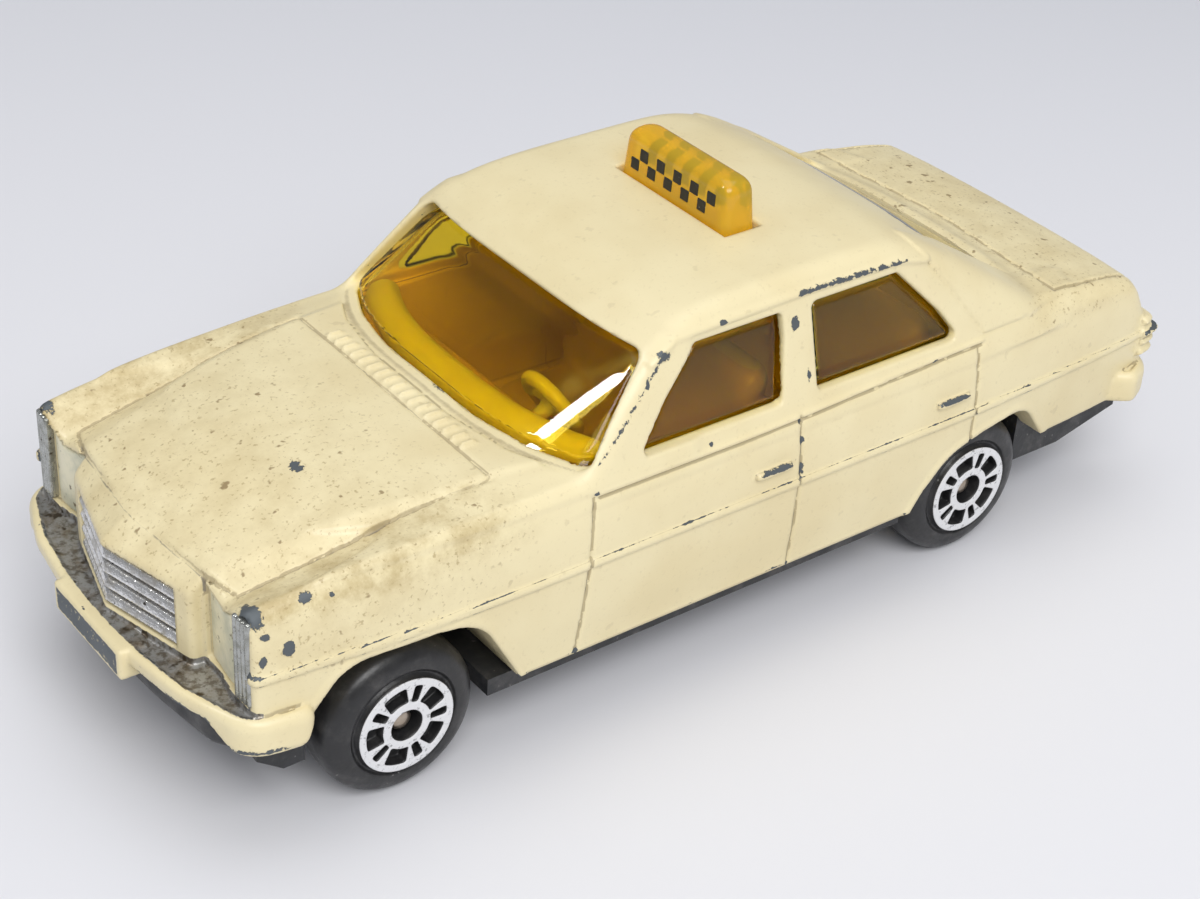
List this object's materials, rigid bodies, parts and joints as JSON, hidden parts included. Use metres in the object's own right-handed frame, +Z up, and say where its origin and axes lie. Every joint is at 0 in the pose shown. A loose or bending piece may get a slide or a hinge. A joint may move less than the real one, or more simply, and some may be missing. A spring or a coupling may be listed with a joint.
{
  "type": "toy taxi",
  "caption": "Die-cast toy saloon taxi with a cream body, amber glazing that carries the roof sign, a yellow interior, a black base, and foiled wheels that roll on wire axles.",
  "frame": {"origin": "on the ground under the middle of the bounding box", "axes": "+X towards the front of the car, +Y to the car's left, +Z up"},
  "size_m": [0.0768, 0.0292, 0.0288],
  "materials": {
    "enamel": "cream enamel, worn and slightly dirty",
    "amber": "clear amber moulded plastic",
    "interior": "moulded yellow plastic",
    "base": "black paint, satin",
    "wire": "drawn wire, headed over",
    "wheel": "black moulded plastic, satin",
    "foil": "white hot-stamped foil"
  },
  "bodies": {
    "chassis": {"body_casting": "enamel", "glazing": "amber", "interior": "interior", "baseplate": "base"},
    "front_axle_set": {"front_axle": "wire"},
    "rear_axle_set": {"rear_axle": "wire"},
    "front_left_wheel": {"wheel_front_left": "wheel", "foil_front_left": "foil"},
    "front_right_wheel": {"wheel_front_right": "wheel", "foil_front_right": "foil"},
    "rear_left_wheel": {"wheel_rear_left": "wheel", "foil_rear_left": "foil"},
    "rear_right_wheel": {"wheel_rear_right": "wheel", "foil_rear_right": "foil"}
  },
  "joints": [
    {"name": "front_axle_spin", "type": "hinge", "parent": "chassis", "child": "front_axle_set", "pos_m": [0.0251, 0, 0.00518], "axis": [0, 1, 0], "continuous": true},
    {"name": "rear_axle_spin", "type": "hinge", "parent": "chassis", "child": "rear_axle_set", "pos_m": [-0.0202, 0, 0.00518], "axis": [0, 1, 0], "continuous": true},
    {"name": "front_left_wheel_spin", "type": "hinge", "parent": "front_axle_set", "child": "front_left_wheel", "pos_m": [0.0251, 0.0116, 0.00518], "axis": [0, 1, 0], "continuous": true},
    {"name": "front_right_wheel_spin", "type": "hinge", "parent": "front_axle_set", "child": "front_right_wheel", "pos_m": [0.0251, -0.0116, 0.00518], "axis": [0, 1, 0], "continuous": true},
    {"name": "rear_left_wheel_spin", "type": "hinge", "parent": "rear_axle_set", "child": "rear_left_wheel", "pos_m": [-0.0202, 0.0116, 0.00518], "axis": [0, 1, 0], "continuous": true},
    {"name": "rear_right_wheel_spin", "type": "hinge", "parent": "rear_axle_set", "child": "rear_right_wheel", "pos_m": [-0.0202, -0.0116, 0.00518], "axis": [0, 1, 0], "continuous": true}
  ]
}
